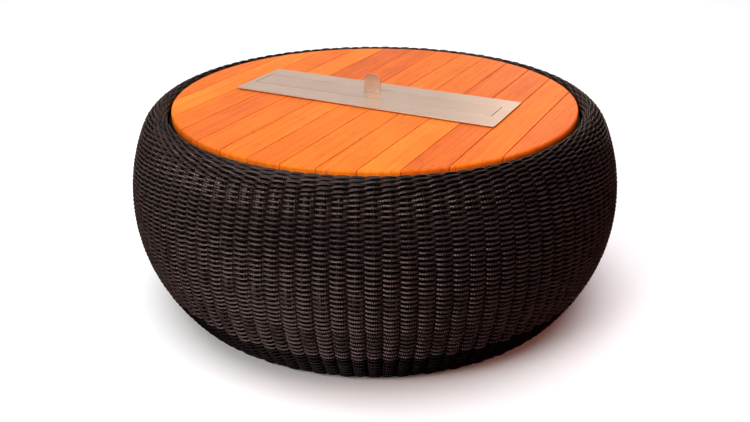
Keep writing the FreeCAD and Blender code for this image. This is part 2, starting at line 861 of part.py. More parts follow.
def burner_insides():
    """Housing, tank, wool and grate below the plate."""
    keep(frame_strip("PlateGasket", "0", "0", "table_height", "plate_length - 2 * gasket_inset",
                     "plate_width - 2 * gasket_inset", "gasket_thickness", "gasket_width"), "plate_gasket")
    keep(frame_strip("LidRest", "lid_along", "lid_back", "rest_floor", "opening_length",
                     "opening_width", "rest_thickness", "rest_width"), "lid_rest")
    keep(tray("BurnerHousing", "0", "0", "housing_floor", "housing_length", "housing_width",
              "housing_depth"), "burner_housing")
    keep(tray("FuelTank", "lid_along", "lid_back", "tank_floor", "tank_length", "tank_width",
              "tank_depth"), "fuel_tank")
    wool_length = "tank_length - 2 * sheet_wall - 2 * wool_gap"
    wool_width = "tank_width - 2 * sheet_wall - 2 * wool_gap"
    keep(centred_block("CeramicWool", "lid_along", "lid_back", "wool_floor", wool_length,
                       wool_width, "wool_height"), "ceramic_wool")
    wool_grate(wool_length, wool_width)


def wool_grate(length, width):
    """Slotted steel strip that holds the wool down."""
    strip = centred_block("GrateStrip", "lid_along", "lid_back", "grate_floor", length, width,
                          "grate_thickness")
    count = int(size("grate_slots"))
    slots = []
    for number in range(count):
        step = (number + 0.5) / count - 0.5
        slots.append(centred_block(f"GrateSlot{number}", f"lid_along + {step} * ({length})",
                                   "lid_back", "grate_floor", "grate_slot_width",
                                   f"{width} - 2 * grate_border", "grate_thickness"))
    keep(cut("WoolGrate", strip, fuse("GrateSlots", *slots)), "wool_grate")


def tank_saddles():
    """Two channels that hold the tank off the housing's floor."""
    floor = "(housing_floor + sheet_wall)"
    height = f"(tank_floor - {floor})"
    pieces = []
    for name, side in (("Left", "-"), ("Right", "")):
        middle = f"lid_along {side or '+'} (tank_length / 2 - saddle_setback)"
        outside = centred_block(name + "Saddle", middle, "lid_back", floor, "saddle_length",
                                "tank_width", height)
        inside = centred_block(name + "SaddleHollow", middle, "lid_back", floor,
                               "saddle_length - 2 * saddle_wall", "tank_width",
                               f"{height} - saddle_wall")
        pieces.append(cut(name + "Channel", outside, inside))
    group = doc.addObject("Part::Compound", "TankSaddles")
    group.Links = pieces
    keep(group, "tank_saddles")


def lug_slots(name, extra):
    """The tab's two lugs, or with some extra size the slots for them."""
    lugs = []
    for side, sign in (("Left", "-"), ("Right", "+")):
        lugs.append(centred_block(
            name + side, f"tab_x {sign} (tab_width - lug_width) / 2", "tab_y", "plate_floor",
            f"lug_width + 2 * ({extra})", f"tab_thickness + 2 * ({extra})", "plate_thickness"))
    return lugs


def lid():
    """Flush lid that closes the flame opening, and its tab."""
    sheet_metal = centred_block("LidSheet", "lid_along", "lid_back", "plate_floor", "lid_length",
                                "lid_width", "plate_thickness")
    slots = fuse("LugSlots", *lug_slots("Slot", "lug_fit"))
    keep(cut("FlameLid", sheet_metal, slots), "flame_lid")
    owner = body("TabSheet")
    sketch = sketch_on(owner, "XZ_Plane", "-tab_y")
    left = "tab_x - tab_width / 2"
    right = "tab_x + tab_width / 2"
    high = "plate_top + tab_height"
    outline(
        sketch, (left, "plate_top"),
        ("line", right, "plate_top"),
        ("line", right, f"{high} - tab_corner"),
        ("arc", (f"{right} - tab_corner", f"{high} - tab_corner"),
         (f"{right} - tab_corner", high), 1, "across"),
        ("line", f"{left} + tab_corner", high),
        ("arc", (f"{left} + tab_corner", f"{high} - tab_corner"),
         (left, f"{high} - tab_corner"), 1, "up"),
        ("line", left, "plate_top"))
    pad(owner, sketch, "tab_thickness", True)
    keep(fuse("TabHandle", owner, *lug_slots("Lug", "0")), "tab_handle")


def burner():
    """Everything that hangs from the burner plate."""
    burner_plate()
    burner_insides()
    tank_saddles()
    lid()


drum()
tabletop()
burner()
doc.recompute()

for item in doc.Objects:
    if {"Invalid", "Error"} & set(item.State):
        raise RuntimeError(f"{item.Label} failed: {item.State}")
for label, item in made.items():
    shape = item.Shape
    if shape.isNull() or not shape.isValid() or not shape.Solids:
        raise RuntimeError(f"{label} has no valid solid")
for label, item in made.items():
    item.Shape.exportStep(os.path.join("parts", label + ".step"))
print(len(made), "sub-parts written")
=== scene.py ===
"""A round fire pit table for a terrace: a drum woven of rope, a teak top and a steel burner."""
import json
import math

import bmesh
import bpy
import numpy
from mathutils import Matrix, Vector, noise

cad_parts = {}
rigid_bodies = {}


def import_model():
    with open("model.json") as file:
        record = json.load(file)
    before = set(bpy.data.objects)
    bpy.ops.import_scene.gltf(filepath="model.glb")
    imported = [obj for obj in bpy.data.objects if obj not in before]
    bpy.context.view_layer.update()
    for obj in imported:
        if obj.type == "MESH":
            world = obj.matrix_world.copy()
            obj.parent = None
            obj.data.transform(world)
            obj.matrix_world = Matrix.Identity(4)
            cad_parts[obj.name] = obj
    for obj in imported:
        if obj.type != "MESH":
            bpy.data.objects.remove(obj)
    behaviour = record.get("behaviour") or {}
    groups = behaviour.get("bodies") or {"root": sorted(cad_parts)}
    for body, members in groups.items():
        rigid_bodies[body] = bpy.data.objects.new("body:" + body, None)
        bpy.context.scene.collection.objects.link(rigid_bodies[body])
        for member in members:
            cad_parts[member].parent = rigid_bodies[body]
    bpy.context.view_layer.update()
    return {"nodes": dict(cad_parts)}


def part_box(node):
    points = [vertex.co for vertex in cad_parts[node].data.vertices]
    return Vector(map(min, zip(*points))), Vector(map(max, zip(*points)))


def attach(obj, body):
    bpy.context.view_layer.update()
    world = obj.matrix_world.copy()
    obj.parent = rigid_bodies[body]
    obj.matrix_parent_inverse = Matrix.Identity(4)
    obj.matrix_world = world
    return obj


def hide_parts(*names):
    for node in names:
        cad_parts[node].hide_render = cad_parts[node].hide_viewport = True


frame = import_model()

# Camera
# The table is seen from its front right, from half a metre above its top, with a 40 mm lens on a
# full frame. The camera is rolled by a hair.
AZIMUTH = math.radians(26.87)
RISE = math.radians(16.95)
LOOK_DOWN = math.radians(24.79)
ROLL = math.radians(-0.15)
CAMERA_DISTANCE = 1.722
LENS = 39.96
SENSOR_WIDTH = 36
NEAREST_SEEN = 0.01

table_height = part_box("plank_07_front")[1].z
camera = bpy.data.objects.new("camera", bpy.data.cameras.new("camera"))
camera.data.lens = LENS
camera.data.sensor_width = SENSOR_WIDTH
camera.data.clip_start = NEAREST_SEEN
back = Vector((math.sin(AZIMUTH) * math.cos(RISE), -math.cos(AZIMUTH) * math.cos(RISE), math.sin(RISE)))
aim = Matrix.Rotation(AZIMUTH, 4, "Z") @ Matrix.Rotation(math.pi / 2 - LOOK_DOWN, 4, "X")
camera.matrix_world = (
    Matrix.Translation(Vector((0, 0, table_height)) + CAMERA_DISTANCE * back)
    @ aim @ Matrix.Rotation(ROLL, 4, "Z"))
bpy.context.scene.collection.objects.link(camera)
bpy.context.scene.camera = camera


# Powder-coated frame
# Aluminium tube rings, hoops, a flat ledge, gussets and foot brackets, welded together and coated
# as one. The coat is a matt black, seen inside, from below and through gaps in the rope.
PEEL_SIZE = 0.0012
DUST_SIZE = 0.04


def paint(code):
    """An sRGB hex colour as linear red, green, blue and alpha."""
    parts = [int(code[place:place + 2], 16) / 255 for place in (1, 3, 5)]
    return [part / 12.92 if part <= 0.04045 else ((part + 0.055) / 1.055) ** 2.4 for part in parts] + [1]


def new_material(name):
    """A material without nodes and its node tree."""
    material = bpy.data.materials.new(name)
    material.use_nodes = True
    material.node_tree.nodes.clear()
    return material, material.node_tree


def add(tree, kind, inputs, **settings):
    """A new shader node: inputs are values or the sockets that feed it, settings are its attributes."""
    node = tree.nodes.new("ShaderNode" + kind)
    for name, value in settings.items():
        setattr(node, name, value)
    for name, value in inputs.items():
        if isinstance(value, bpy.types.NodeSocket):
            tree.links.new(value, node.inputs[name])
        else:
            node.inputs[name].default_value = value
    return node


def powder_coat():
    """Polyester powder coat, baked: matt black, with a faint orange peel of about a millimetre and
    a breath of dust that greys it in patches."""
    material, tree = new_material("polyester_powder_coat_baked")
    place = add(tree, "TexCoord", {}).outputs["Object"]
    peel = add(tree, "TexNoise", {"Vector": place, "Scale": 1 / PEEL_SIZE, "Detail": 2})
    dust = add(tree, "TexNoise", {"Vector": place, "Scale": 1 / DUST_SIZE, "Detail": 4})
    colour = add(tree, "Mix", {0: dust.outputs["Fac"], 6: paint("#050505"), 7: paint("#0d0c0c")},
                 data_type="RGBA")
    gloss = add(tree, "MapRange", {"Value": dust.outputs["Fac"], "To Min": 0.6, "To Max": 0.8})
    bump = add(tree, "Bump", {"Height": peel.outputs["Fac"], "Strength": 0.25, "Distance": 0.0002})
    shader = add(tree, "BsdfPrincipled", {
        "Base Color": colour.outputs[2], "Roughness": gloss.outputs[0], "Normal": bump.outputs[0],
        "Specular IOR Level": 0.2})
    add(tree, "OutputMaterial", {"Surface": shader.outputs[0]})
    return material


def coat(node, material):
    """Gives a CAD node its finish."""
    mesh = frame["nodes"][node].data
    mesh.materials.clear()
    mesh.materials.append(material)


black_coat = powder_coat()
for node in ("top_ring", "base_ring", "upper_hoop", "belly_hoop", "lower_hoop", "top_ledge",
             "ledge_gussets", "foot_brackets"):
    coat(node, black_coat)


# Woven rope
# Two braided ropes are worked round the upright stakes in one long double spiral, each passing
# in front of every other stake. They run over the top ring and round the base ring as well.
STAKES = 108
ROPES = 2
ROPE = 0.0051
ROW_PITCH = 0.00435
# The stakes draw together towards the base, where the rope bulges more and its rows lie wider
BASE_PITCH = 0.0058
WIDER_ROWS = 28
CHANGE_ROWS = 3
# How deep in the wall the ropes lie in front of the stakes, and the stakes themselves
FRONT_DEPTH = ROPE / 2
STAKE_DEPTH = 0.0078
# The drum's outline: the belly, the arc of the shoulder and the roll of rope round each ring's
# tube. The angles say where the roll takes over at the crown, and where the rope ends inside.
BELLY_HEIGHT = 0.215
SHOULDER_ARC = 0.070
TUBE = 0.009
ROLL_RADIUS = 0.014
CROWN = math.radians(64)
RIM_END = math.radians(330)
HEM_END = math.radians(60 - 360)
# Over the rings the ropes weave less deeply, and WAVE_RUN is the stretch over which that changes
RIM_WAVE = 0.0019
WAVE_RUN = 0.030
# At 1 a rope goes in and out evenly, and the nearer to 0, the longer it stays in front or behind
SQUARENESS = 0.45
# The weaver's hand moves each pass a little along the wall and in its depth, and a slower drift
# moves whole stretches of a row. Both are smooth noise, and each pair says how quickly it changes
# round the drum and from row to row.
HAND_NOISE = (40, 0.9)
DRIFT_NOISE = (9, 0.12)
ROW_WANDER = 0.0003
DRIFT_SHARE = 4
DEPTH_WANDER = 0.0003
# The soft rope is pressed flat where it lies hidden behind a stake, which closes the wall. Towards
# the rings, where the wave fades, it stays pressed until a third of the wave is left.
HIDDEN_GAIN = 3
FLAT_FROM = 0.35
FLAT_WIDTH = 2.3
FLAT_DEPTH = 0.7
# The painted highlight fades out between these shares of the rope's way behind a stake, and the hidden rope
# is left in painted shade. On the crown, where the wall lies flat, most of the highlight is taken off again
# as painted shade.
HIGHLIGHT_START = 0.15
HIGHLIGHT_END = 0.5
CROWN_HIGHLIGHT = 0.05
CROWN_GAIN = 1.6
LEAST_HIGHLIGHT = 0.1
# The painted highlight falls on the side of the rope that faces this far up from straight out of the wall
HIGHLIGHT_RISE = math.radians(35)
# How finely the ropes are drawn, and how often a row's place is worked out anew to find it
STEPS_PER_STAKE = 6
ROPE_SIDES = 6
ROW_TRIES = 60
# Each yarn crosses the rope's top every 3.8 mm, coarser than the real 2.6 mm so that it shows
YARN_PERIOD = 0.0076
YARNS_EACH_WAY = 3
# Size of the patches in which the painted highlight is stronger or weaker
HIGHLIGHT_PATCH = 0.016


def ring_centre(node):
    """Radius and height of a tube ring's centre line."""
    low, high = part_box(node)
    return high.x - TUBE, (low.z + high.z) / 2


ring_radius, ring_height = ring_centre("top_ring")
base_radius, base_height = ring_centre("base_ring")
belly_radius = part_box("rope_weave_lower")[1].x

# Each arc touches the next, so its radius follows from where the two have to meet
shoulder_radius = ring_radius - (SHOULDER_ARC - ROLL_RADIUS) * math.cos(CROWN)
shoulder_height = ring_height - (SHOULDER_ARC - ROLL_RADIUS) * math.sin(CROWN)
shoulder_inset = belly_radius - shoulder_radius
shoulder_rise = shoulder_height - BELLY_HEIGHT
upper_arc = ((shoulder_inset ** 2 + shoulder_rise ** 2 - SHOULDER_ARC ** 2)
             / (2 * (shoulder_inset - SHOULDER_ARC)))
join = math.atan2(shoulder_rise, shoulder_radius - (belly_radius - upper_arc))
base_inset = belly_radius - base_radius
base_drop = BELLY_HEIGHT - base_height
lower_arc = (base_inset ** 2 + base_drop ** 2 - ROLL_RADIUS ** 2) / (2 * (base_inset - ROLL_RADIUS))
hem = -math.asin(base_drop / (lower_arc - ROLL_RADIUS))

# The drum's outline from the inside of the base edge to the inside of the rim, as arcs:
# centre radius, centre height, arc radius, first angle, last angle
OUTLINE = (
    (base_radius, base_height, ROLL_RADIUS, HEM_END, hem),
    (belly_radius - lower_arc, BELLY_HEIGHT, lower_arc, hem, 0),
    (belly_radius - upper_arc, BELLY_HEIGHT, upper_arc, 0, join),
    (shoulder_radius, shoulder_height, SHOULDER_ARC, join, CROWN),
    (ring_radius, ring_height, ROLL_RADIUS, CROWN, RIM_END))
arc_runs = [(arc[2] - FRONT_DEPTH) * (arc[4] - arc[3]) for arc in OUTLINE]
wall_start = arc_runs[0]
wall_end = sum(arc_runs[:4])
outline_length = sum(arc_runs)


def on_outline(run, depth):
    """Radius and height of the point so far along the outline and so deep in the wall, and the angle
    at which the wall faces out there."""
    for arc, length in zip(OUTLINE, arc_runs):
        if run <= length or arc is OUTLINE[-1]:
            across, up, radius, first, last = arc
            angle = first + (last - first) * run / length
            reach = radius - depth
            return across + reach * math.cos(angle), up + reach * math.sin(angle), angle
        run -= length


def on_wall(run):
    """1 on the open wall, 0 over the rings, and between the two near the wall's ends."""
    inside = min(run - wall_start, wall_end - run) / WAVE_RUN
    share = min(max(inside, 0), 1)
    return share * share * (3 - 2 * share)


def run_of(row):
    """How far along the outline a row of rope lies."""
    change = CHANGE_ROWS * math.log(1 + math.exp((row - WIDER_ROWS) / CHANGE_ROWS))
    return BASE_PITCH * row - (BASE_PITCH - ROW_PITCH) * change


def row_at(run):
    """The row of rope that lies so far along the outline."""
    row = run / BASE_PITCH
    for _ in range(ROW_TRIES):
        row += (run - run_of(row)) / BASE_PITCH
    return row


def uneven(turn, row, rates):
    """Smooth noise from -1 to 1 that closes round the drum."""
    around, upwards = rates
    return noise.noise(Vector((around * math.cos(turn), around * math.sin(turn), row * upwards)))


def rope_point(rope, stake):
    """A rope's centre after passing so many stakes from the base's inner edge, the direction out of
    the wall, the direction up the wall, and how far the rope is hidden there, from 0 to 1."""
    turn = 2 * math.pi * stake / STAKES
    row = ROPES * stake / STAKES + rope
    run = run_of(row)
    swing = math.cos(math.pi * (stake + rope))
    swing /= math.sqrt(swing * swing + SQUARENESS * (1 - swing * swing))
    hand = uneven(turn, row, HAND_NOISE)
    drift = uneven(turn, row, DRIFT_NOISE)
    run += ROW_WANDER * (hand + DRIFT_SHARE * drift)
    wall = on_wall(run)
    wave = RIM_WAVE + (STAKE_DEPTH - FRONT_DEPTH - RIM_WAVE) * wall
    depth = FRONT_DEPTH + wave * (1 - swing) - DEPTH_WANDER * hand
    across, up, facing = on_outline(min(max(run, 0), outline_length), depth)
    hidden = min(1, HIDDEN_GAIN * wall) * (1 - swing) / 2
    outward = (math.cos(facing) * math.cos(turn), math.cos(facing) * math.sin(turn), math.sin(facing))
    upward = (-math.sin(facing) * math.cos(turn), -math.sin(facing) * math.sin(turn), math.cos(facing))
    return (across * math.cos(turn), across * math.sin(turn), up), outward, upward, hidden


def strand(rope, first_run, last_run):
    """One rope's points over a stretch of the outline, as rope_point gives them."""
    first, last = (
        int((row_at(run) - rope) * STAKES / ROPES * STEPS_PER_STAKE) for run in (first_run, last_run))
    return [rope_point(rope, step / STEPS_PER_STAKE) for step in range(first, last + 1)]


def swept(name, strands):
    """The mesh of a round rope along each strand, with the metres along the rope in its UV map."""
    curve = bpy.data.curves.new(name, "CURVE")
    curve.dimensions = "3D"
    curve.bevel_depth = ROPE / 2
    curve.bevel_resolution = (ROPE_SIDES - 4) // 2
    curve.use_fill_caps = True
    for points in strands:
        spline = curve.splines.new("POLY")
        spline.points.add(len(points) - 1)
        spline.points.foreach_set("co", [value for point in points for value in (*point[0], 1)])
    holder = bpy.data.objects.new(name + "_line", curve)
    bpy.context.scene.collection.objects.link(holder)
    mesh = bpy.data.meshes.new_from_object(holder.evaluated_get(bpy.context.evaluated_depsgraph_get()))
    bpy.data.objects.remove(holder)
    # The map runs from 0 to 1 along each strand, and the strands of a band are almost equally long
    length = sum(math.dist(one[0], two[0]) for one, two in zip(strands[-1], strands[-1][1:]))
    marks = numpy.empty(2 * len(mesh.loops))
    mesh.uv_layers[0].data.foreach_get("uv", marks)
    marks[0::2] *= length
    mesh.uv_layers[0].data.foreach_set("uv", marks)
    return mesh


def pressed(offset, outward, upward, hidden):
    """How far each vertex moves where the hidden rope is pressed wide and thin."""
    flat = numpy.clip((hidden - FLAT_FROM) / (1 - FLAT_FROM), 0, 1)
    above = (offset * upward).sum(axis=2, keepdims=True)
    outside = (offset * outward).sum(axis=2, keepdims=True)
    return flat * ((FLAT_WIDTH - 1) * upward * above + (FLAT_DEPTH - 1) * outward * outside)


def painted_highlight_share(offset, outward, upward, hidden):
    """How much painted highlight each vertex gets, from 0 to 1: most on the upper outer side of the passes
    in front, which faces the light; none on the rope hidden behind a stake, which is left in painted shade;
    little on the rim's crown, also painted shade.
    """
    shown = numpy.clip((HIGHLIGHT_END - hidden) / (HIGHLIGHT_END - HIGHLIGHT_START), 0, 1)
    # The rim's crown gets painted shade in place of most of its highlight
    crown_unshaded = numpy.clip(CROWN_HIGHLIGHT + CROWN_GAIN * upward[..., 2:], LEAST_HIGHLIGHT, 1)
    toward_light = math.cos(HIGHLIGHT_RISE) * outward + math.sin(HIGHLIGHT_RISE) * upward
    facing_light = (offset * toward_light).sum(axis=2, keepdims=True) / (ROPE / 2)
    return shown * crown_unshaded * numpy.clip(facing_light, 0, 1)


def braided_rope(name, dye_and_shade_tone, skin, bead_highlight_tone, shine):
    """Polyolefin rope in a tight diagonal braid: dyed near black with a waxy shine, with a painted greyish
    brown highlight on the upper outer side of the passes in front of the stakes, brightest on the beads of
    the braid. Of the three tones, the first is the dye, also used as painted shade on the hidden rope, the
    second the painted highlight on the yarn, and the third the brightest painted highlight, on the beads."""
    material, tree = new_material(name)
    place = add(tree, "TexCoord", {})
    parts = add(tree, "SeparateXYZ", {"Vector": place.outputs["UV"]})
    # The painted highlight share of each vertex, set where the ropes are made
    bleach = add(tree, "Attribute", {}, attribute_name="bleach")
    # Two sets of yarns wind round the rope, one to the right and one to the left
    length = add(tree, "Math", {0: parts.outputs[0], 1: 2 * math.pi / YARN_PERIOD}, operation="MULTIPLY")
    around = add(tree, "Math", {0: parts.outputs[1], 1: 2 * math.pi * YARNS_EACH_WAY}, operation="MULTIPLY")
    right = add(tree, "Math", {0: length.outputs[0], 1: around.outputs[0]}, operation="ADD")
    left = add(tree, "Math", {0: length.outputs[0], 1: around.outputs[0]}, operation="SUBTRACT")
    right_yarn = add(tree, "Math", {0: right.outputs[0]}, operation="SINE")
    left_yarn = add(tree, "Math", {0: left.outputs[0]}, operation="SINE")
    braid = add(tree, "Math", {0: right_yarn.outputs[0], 1: left_yarn.outputs[0]}, operation="MULTIPLY")
    height = add(tree, "MapRange", {"Value": braid.outputs[0], "From Min": -0.8, "From Max": 0.8})
    bead = add(tree, "MapRange", {"Value": braid.outputs[0], "From Min": 0, "From Max": 0.7})
    # The painted highlight is stronger in some patches than in others
    highlight_patches = add(tree, "TexNoise", {"Vector": place.outputs["Object"], "Scale": 1 / HIGHLIGHT_PATCH, "Detail": 3})
    patch_strength = add(tree, "MapRange", {"Value": highlight_patches.outputs["Fac"], "From Min": 0.3, "From Max": 0.7,
                                  "To Min": 0.55, "To Max": 1.35})
    patchy_highlight = add(tree, "Math", {0: bleach.outputs["Fac"], 1: patch_strength.outputs[0]}, operation="MULTIPLY")
    lit = add(tree, "Math", {0: patchy_highlight.outputs[0], 1: bead.outputs[0]}, operation="MULTIPLY")
    yarn = add(tree, "Mix", {0: patchy_highlight.outputs[0], 6: paint(dye_and_shade_tone), 7: paint(skin)}, data_type="RGBA")
    colour = add(tree, "Mix", {0: lit.outputs[0], 6: yarn.outputs[2], 7: paint(bead_highlight_tone)},
                 data_type="RGBA")
    bump = add(tree, "Bump", {"Height": height.outputs[0], "Strength": 1.0, "Distance": 0.0006})
    shader = add(tree, "BsdfPrincipled", {
        "Base Color": colour.outputs[2], "Roughness": 0.34, "Normal": bump.outputs[0],
        "Specular IOR Level": shine, "Specular Tint": paint("#ffdedc")})
    add(tree, "OutputMaterial", {"Surface": shader.outputs[0]})
    return material


def rope_band(name, first_run, last_run, material, *nodes):
    """Both ropes over one band of the outline, as one piece that replaces CAD nodes."""
    strands = [strand(rope, first_run, last_run) for rope in range(ROPES)]
    mesh = swept(name, strands)
    points = [point for one_strand in strands for point in one_strand]
    middle, outward, upward = (
        numpy.array([point[part] for point in points])[:, None] for part in range(3))
    hidden = numpy.array([point[3] for point in points])[:, None, None]
    # Each point has one ring of vertices, and all of these come after the ones on the ropes' ends
    corners = numpy.empty(3 * len(mesh.vertices))
    mesh.vertices.foreach_get("co", corners)
    rings = corners[-3 * ROPE_SIDES * len(points):].reshape(-1, ROPE_SIDES, 3)
    offset = rings - middle
    rings += pressed(offset, outward, upward, hidden)
    mesh.vertices.foreach_set("co", corners)
    # A painted highlight share for each vertex: painted highlight on the passes in front, painted shade on
    # the hidden rope and on the crown
    bleach = numpy.zeros(len(mesh.vertices))
    bleach[-ROPE_SIDES * len(points):] = painted_highlight_share(offset, outward, upward, hidden).ravel()
    mesh.attributes.new("bleach", "FLOAT", "POINT").data.foreach_set("value", bleach)
    mesh.polygons.foreach_set("use_smooth", [True] * len(mesh.polygons))
    mesh.update()
    mesh.materials.clear()
    mesh.materials.append(material)
    piece = bpy.data.objects.new(name, mesh)
    bpy.context.scene.collection.objects.link(piece)
    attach(piece, "drum")
    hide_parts(*nodes)


def run_at_height(height):
    """How far along the outline the lower wall reaches a height."""
    return wall_start + (math.asin((height - BELLY_HEIGHT) / lower_arc) - hem) * (lower_arc - FRONT_DEPTH)


# Hands dull the rope on the rim. At the base the rope's tones are darker and its shine less, a painted
# shade for the shade under the drum's belly.
wall_rope = braided_rope("polyolefin_rope_braided_wall", "#010101", "#0a0606", "#624c4a", 0.9)
rim_rope = braided_rope("polyolefin_rope_braided_rim", "#010101", "#0a0606", "#624c4a", 0.5)
base_rope_painted_shade = braided_rope("polyolefin_rope_braided_base_painted_shade", "#010101", "#0c0607", "#150c0d", 0.15)

border_top = run_at_height(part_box("rope_border")[1].z - ROPE / 2)
belly_run = sum(arc_runs[:2])
rope_band("rope_base", run_of(1), border_top, base_rope_painted_shade, "rope_base_edge", "rope_border")
rope_band("rope_over_rim", wall_end, outline_length - ROW_PITCH, rim_rope, "rope_rim")
# The wall is made in five bands, so that none has too many faces
for node, low, high, bands in (("rope_weave_lower", border_top, belly_run, 2),
                               ("rope_weave_upper", belly_run, wall_end, 3)):
    for band in range(bands):
        first, last = (low + (high - low) * step / bands for step in (band, band + 1))
        rope_band(f"{node}_{band + 1}", first, last, wall_rope, node)


# Rubber and plastic small parts
# Discs of black rubber keep the top from knocking on the ledge, a rubber strip seals the burner
# plate to the teak, and moulded nylon glides are pushed into the foot brackets.
def moulded(name, code, roughness, grain):
    """Moulded rubber or nylon: an even dark skin with the fine grain of the mould, dull to satin."""
    material, tree = new_material(name)
    place = add(tree, "TexCoord", {}).outputs["Object"]
    skin = add(tree, "TexNoise", {"Vector": place, "Scale": 1 / grain, "Detail": 3})
    bump = add(tree, "Bump", {"Height": skin.outputs["Fac"], "Strength": 0.3, "Distance": 0.0002})
    shader = add(tree, "BsdfPrincipled", {
        "Base Color": paint(code), "Roughness": roughness, "Normal": bump.outputs[0]})
    add(tree, "OutputMaterial", {"Surface": shader.outputs[0]})
    return material


black_rubber = moulded("rubber_moulded_black", "#121110", 0.75, 0.0008)
black_nylon = moulded("nylon_moulded_black", "#18181a", 0.5, 0.0005)
coat("rest_pads", black_rubber)
coat("plate_gasket", black_rubber)
coat("floor_glides", black_nylon)


# Teak planks
# Thirteen planks of oiled teak, sawn round at their ends after they were screwed to the battens.
# The rim has a soft round, and every seam shows as a fine dark line.
MERGE_DISTANCE = 1e-6
EASE_ANGLE = math.radians(40)
EASE_SEGMENTS = 2
FLAT_ANGLE = math.radians(0.5)
SMOOTH_ANGLE = math.radians(25)
TEAK_EASE = 0.0004
# Sizes across the board, along it and through it: streaks of the figure, lines of the grain, dark
# dashes where the grain runs out, and pores. Dashes and pores are drawn wider than real to show.
STREAK = (0.009, 0.3, 0.02)
GRAIN = (0.0012, 0.06, 0.004)
DASH = (0.003, 0.04, 0.02)
PORE = (0.0008, 0.014, 0.0012)
CLOUD_SIZE = 0.11
# Each board comes from another place in the log
BOARD_STEP = (0.31, 0.57, 0.23)


def cleaned(node, ease):
    """A merged copy of a CAD node's mesh with its sharp edges eased by so much."""
    source = frame["nodes"][node].data
    work = bmesh.new()
    work.from_mesh(source)
    bmesh.ops.remove_doubles(work, verts=work.verts, dist=MERGE_DISTANCE)
    bmesh.ops.dissolve_limit(work, angle_limit=FLAT_ANGLE, verts=work.verts, edges=work.edges)
    sharp = [edge for edge in work.edges if edge.is_manifold and edge.calc_face_angle() > EASE_ANGLE]
    if ease:
        bmesh.ops.bevel(work, geom=sharp, offset=ease, offset_type="OFFSET", segments=EASE_SEGMENTS,
                        profile=0.5, affect="EDGES", material=-1, clamp_overlap=True)
    bmesh.ops.triangulate(work, faces=[face for face in work.faces if len(face.verts) > 4])
    for edge in work.edges:
        edge.smooth = edge.is_manifold and edge.calc_face_angle() < SMOOTH_ANGLE
    for face in work.faces:
        face.smooth = True
    mesh = bpy.data.meshes.new(node + "_dressed")
    work.to_mesh(mesh)
    work.free()
    return mesh


def dress(node, body, material, ease):
    """Shows an eased copy in place of a CAD node."""
    mesh = cleaned(node, ease)
    mesh.materials.append(material)
    piece = bpy.data.objects.new(node + "_piece", mesh)
    bpy.context.scene.collection.objects.link(piece)
    even = piece.modifiers.new("even shading", "WEIGHTED_NORMAL")
    even.keep_sharp = True
    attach(piece, body)
    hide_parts(node)
    return piece


def oiled_teak(name, light, dark, softness, order):
    """Teak, sawn, sanded and oiled: warm orange brown, straight grain along the board in long
    streaks, short dark pores, and a low satin gloss that the pores break up."""
    material, tree = new_material(name)
    place = add(tree, "TexCoord", {}).outputs["Object"]
    moved = add(tree, "Mapping", {"Vector": place, "Location": [order * step for step in BOARD_STEP]})
    figure_place, grain_place, dash_place, pore_place = (
        add(tree, "Mapping", {"Vector": moved.outputs[0], "Scale": [1 / part for part in size]}).outputs[0]
        for size in (STREAK, GRAIN, DASH, PORE))
    figure = add(tree, "TexNoise", {"Vector": figure_place, "Scale": 1, "Detail": 4,
                                    "Roughness": 0.55, "Distortion": 0.35})
    grain = add(tree, "TexNoise", {"Vector": grain_place, "Scale": 1, "Detail": 3})
    dash = add(tree, "TexNoise", {"Vector": dash_place, "Scale": 1, "Detail": 2})
    pore = add(tree, "TexNoise", {"Vector": pore_place, "Scale": 1, "Detail": 1})
    cloud = add(tree, "TexNoise", {"Vector": moved.outputs[0], "Scale": 1 / CLOUD_SIZE, "Detail": 2})
    band = add(tree, "MapRange", {"Value": figure.outputs["Fac"], "From Min": 0.5 - softness,
                                  "From Max": 0.5 + softness})
    base = add(tree, "Mix", {0: band.outputs[0], 6: paint(light), 7: paint(dark)}, data_type="RGBA")
    line = add(tree, "MapRange", {"Value": grain.outputs["Fac"], "From Min": 0.35, "From Max": 0.75,
                                  "To Min": 1.06, "To Max": 0.84})
    lined = add(tree, "Mix", {0: 1.0, 6: base.outputs[2], 7: line.outputs[0]},
                data_type="RGBA", blend_type="MULTIPLY")
    shade = add(tree, "MapRange", {"Value": cloud.outputs["Fac"], "From Min": 0.3, "From Max": 0.7,
                                   "To Min": 0.9, "To Max": 1.08})
    shaded = add(tree, "Mix", {0: 1.0, 6: lined.outputs[2], 7: shade.outputs[0]},
                 data_type="RGBA", blend_type="MULTIPLY")
    short = add(tree, "MapRange", {"Value": dash.outputs["Fac"], "From Min": 0.62, "From Max": 0.74,
                                   "To Max": 0.7})
    dashed = add(tree, "Mix", {0: short.outputs[0], 6: shaded.outputs[2], 7: paint("#b3541a")},
                 data_type="RGBA")
    mark = add(tree, "MapRange", {"Value": pore.outputs["Fac"], "From Min": 0.66, "From Max": 0.76})
    colour = add(tree, "Mix", {0: mark.outputs[0], 6: dashed.outputs[2], 7: paint("#8a3f12")},
                 data_type="RGBA")
    gloss = add(tree, "MapRange", {"Value": grain.outputs["Fac"], "To Min": 0.32, "To Max": 0.5})
    relief = add(tree, "Math", {0: grain.outputs["Fac"], 1: mark.outputs[0]}, operation="SUBTRACT")
    bump = add(tree, "Bump", {"Height": relief.outputs[0], "Strength": 0.25, "Distance": 0.00025})
    shader = add(tree, "BsdfPrincipled", {
        "Base Color": colour.outputs[2], "Roughness": gloss.outputs[0], "Normal": bump.outputs[0],
        "IOR": 1.47, "Specular IOR Level": 0.1})
    add(tree, "OutputMaterial", {"Surface": shader.outputs[0]})
    return material


